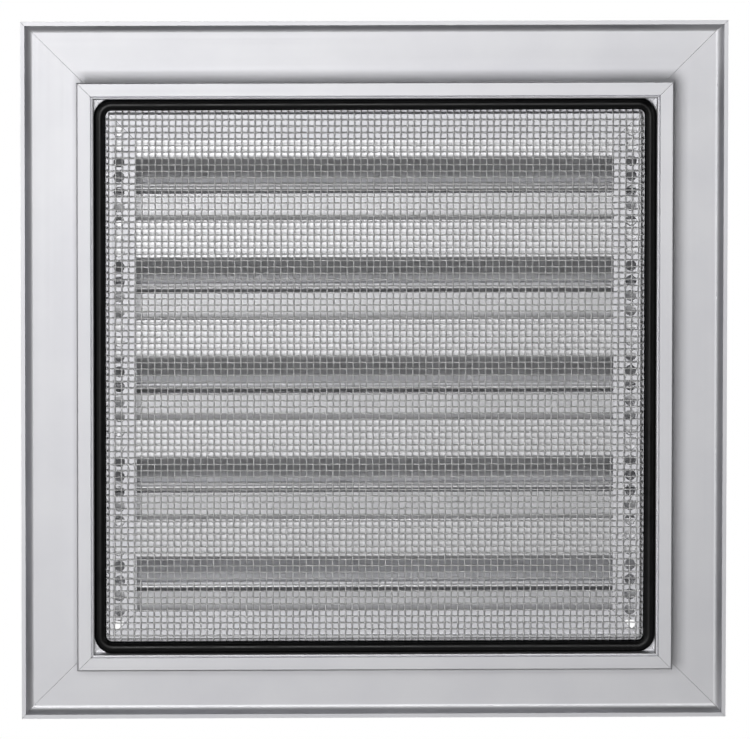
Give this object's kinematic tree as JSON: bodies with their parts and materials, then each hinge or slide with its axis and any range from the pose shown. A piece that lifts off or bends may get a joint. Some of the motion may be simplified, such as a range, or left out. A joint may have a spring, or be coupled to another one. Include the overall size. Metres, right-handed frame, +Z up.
{
  "type": "wall vent grille",
  "caption": "Square fixed-blade wall vent grille: mitred aluminium frame with a rolled flange, sloping weather blades and an insect mesh held in a groove by a rubber cord.",
  "frame": {"origin": "middle of the square neck, in the plane of the wall that the flange's rolled lip rests on", "axes": "+X along the blades, +Z up, +Y out of the wall towards the weather; the mesh side (-Y) goes into the wall opening"},
  "size_m": [0.35, 0.026, 0.35],
  "materials": {
    "frame_aluminium": "satin, as extruded",
    "blade_aluminium": "satin, as extruded",
    "cleat_aluminium": "plain",
    "mesh_wire": "bright drawn wire",
    "cord_rubber": "smooth, slightly glossy",
    "screw_steel": "zinc plated"
  },
  "bodies": {
    "root": {"frame_top": "frame_aluminium", "frame_bottom": "frame_aluminium", "frame_left": "frame_aluminium", "frame_right": "frame_aluminium", "blade_1": "blade_aluminium", "blade_2": "blade_aluminium", "blade_3": "blade_aluminium", "blade_4": "blade_aluminium", "blade_5": "blade_aluminium", "cleat_top_left": "cleat_aluminium", "cleat_top_right": "cleat_aluminium", "cleat_bottom_left": "cleat_aluminium", "cleat_bottom_right": "cleat_aluminium", "insect_mesh": "mesh_wire", "mesh_cord": "cord_rubber", "blade_screws_left": "screw_steel", "blade_screws_right": "screw_steel"}
  },
  "joints": []
}
